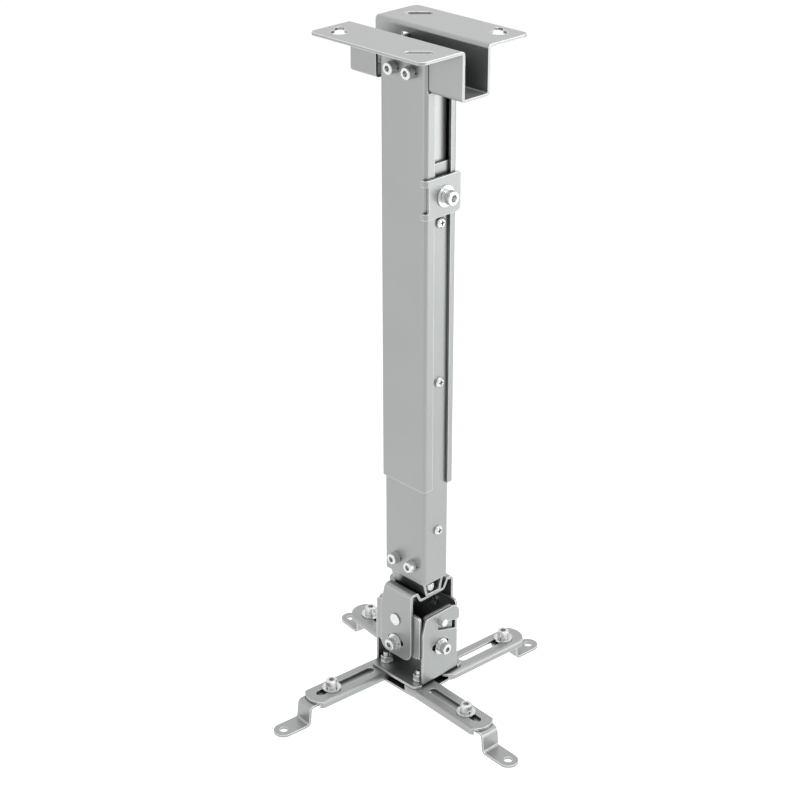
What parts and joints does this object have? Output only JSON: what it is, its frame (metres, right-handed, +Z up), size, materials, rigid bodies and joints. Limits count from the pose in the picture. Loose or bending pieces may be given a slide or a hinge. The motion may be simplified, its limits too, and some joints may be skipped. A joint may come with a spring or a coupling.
{
  "type": "projector ceiling mount",
  "caption": "Telescopic ceiling mount: a flanged bracket carries a slotted channel pole with a sliding inner pole, a tilting cradle and spider arms with stepped feet.",
  "frame": {"origin": "centre of the ceiling plane, midway between the bracket's flanges and its ends", "axes": "+Z up to the ceiling, +X along the bracket's long edge towards the pole's open slot, -Y the closed front of the pole"},
  "size_m": [0.2312, 0.2278, 0.5135],
  "materials": {
    "satin_paint": "satin",
    "zinc_fastener": "bright",
    "dark_key": "satin"
  },
  "bodies": {
    "ceiling_side": {"ceiling_bracket": "satin_paint", "outer_pole": "satin_paint", "guide_channel": "satin_paint", "top_screws": "zinc_fastener", "top_spring_washers": "zinc_fastener", "top_nuts": "zinc_fastener", "guide_screws": "zinc_fastener", "guide_nuts": "zinc_fastener"},
    "drop_pole": {"inner_pole": "satin_paint", "slide_nut": "dark_key", "clamp_plate": "satin_paint", "clamp_washer": "zinc_fastener", "clamp_spring_washer": "zinc_fastener", "clamp_screw": "zinc_fastener", "web_screws": "zinc_fastener", "hanger": "satin_paint", "hanger_screws": "zinc_fastener", "hanger_spring_washers": "zinc_fastener", "hanger_nuts": "zinc_fastener", "swivel_bolt": "zinc_fastener", "swivel_washer": "zinc_fastener", "swivel_nut": "zinc_fastener"},
    "swivel_yoke": {"yoke": "satin_paint"},
    "joint_cross": {"cross_bracket": "satin_paint", "tilt_pins": "zinc_fastener", "roll_pins": "zinc_fastener", "joint_screws": "zinc_fastener", "joint_spring_washers": "zinc_fastener", "joint_washers": "zinc_fastener", "joint_nuts": "zinc_fastener"},
    "spider_base": {"base_bracket": "satin_paint", "lower_plate": "satin_paint", "pivot_screws": "zinc_fastener", "pivot_washers": "zinc_fastener", "pivot_nuts": "zinc_fastener"},
    "front_left_arm": {"arm_front_left": "satin_paint"},
    "front_left_foot": {"foot_front_left": "satin_paint", "foot_washer_front_left": "zinc_fastener", "foot_spring_washer_front_left": "zinc_fastener", "foot_screw_front_left": "zinc_fastener", "foot_nut_front_left": "zinc_fastener"},
    "front_right_arm": {"arm_front_right": "satin_paint"},
    "front_right_foot": {"foot_front_right": "satin_paint", "foot_washer_front_right": "zinc_fastener", "foot_spring_washer_front_right": "zinc_fastener", "foot_screw_front_right": "zinc_fastener", "foot_nut_front_right": "zinc_fastener"},
    "rear_right_arm": {"arm_rear_right": "satin_paint"},
    "rear_right_foot": {"foot_rear_right": "satin_paint", "foot_washer_rear_right": "zinc_fastener", "foot_spring_washer_rear_right": "zinc_fastener", "foot_screw_rear_right": "zinc_fastener", "foot_nut_rear_right": "zinc_fastener"},
    "rear_left_arm": {"arm_rear_left": "satin_paint"},
    "rear_left_foot": {"foot_rear_left": "satin_paint", "foot_washer_rear_left": "zinc_fastener", "foot_spring_washer_rear_left": "zinc_fastener", "foot_screw_rear_left": "zinc_fastener", "foot_nut_rear_left": "zinc_fastener"}
  },
  "joints": [
    {"name": "height_slide", "type": "slide", "parent": "ceiling_side", "child": "drop_pole", "axis": [0, 0, 1], "range_m": [-0.172, 0.048]},
    {"name": "swivel", "type": "hinge", "parent": "drop_pole", "child": "swivel_yoke", "pos_m": [0, 0, -0.4237], "axis": [0, 0, 1], "range_deg": [-15, 15]},
    {"name": "tilt", "type": "hinge", "parent": "swivel_yoke", "child": "joint_cross", "pos_m": [0, 0, -0.4435], "axis": [0, 1, 0], "range_deg": [-15, 15]},
    {"name": "roll", "type": "hinge", "parent": "joint_cross", "child": "spider_base", "pos_m": [0, 0, -0.4435], "axis": [1, 0, 0], "range_deg": [-15, 15]},
    {"name": "front_left_arm_swing", "type": "hinge", "parent": "spider_base", "child": "front_left_arm", "pos_m": [-0.0175, -0.015, -0.4943], "axis": [0, 0, 1], "range_deg": [-24.5, 35.5]},
    {"name": "front_left_foot_slide", "type": "slide", "parent": "front_left_arm", "child": "front_left_foot", "axis": [-0.0958, -0.9954, 0], "range_m": [-0.005, 0.009]},
    {"name": "front_right_arm_swing", "type": "hinge", "parent": "spider_base", "child": "front_right_arm", "pos_m": [0.0175, -0.015, -0.4943], "axis": [0, 0, 1], "range_deg": [-27, 33]},
    {"name": "front_right_foot_slide", "type": "slide", "parent": "front_right_arm", "child": "front_right_foot", "axis": [0.9986, -0.0523, 0], "range_m": [-0.005, 0.009]},
    {"name": "rear_right_arm_swing", "type": "hinge", "parent": "spider_base", "child": "rear_right_arm", "pos_m": [0.0175, 0.015, -0.4943], "axis": [0, 0, 1], "range_deg": [-25.5, 34.5]},
    {"name": "rear_right_foot_slide", "type": "slide", "parent": "rear_right_arm", "child": "rear_right_foot", "axis": [0.0785, 0.9969, 0], "range_m": [-0.035, 0.0045]},
    {"name": "rear_left_arm_swing", "type": "hinge", "parent": "spider_base", "child": "rear_left_arm", "pos_m": [-0.0175, 0.015, -0.4943], "axis": [0, 0, 1], "range_deg": [-22.5, 37.5]},
    {"name": "rear_left_foot_slide", "type": "slide", "parent": "rear_left_arm", "child": "rear_left_foot", "axis": [-0.9914, 0.1305, 0], "range_m": [-0.035, 0.0045]}
  ]
}
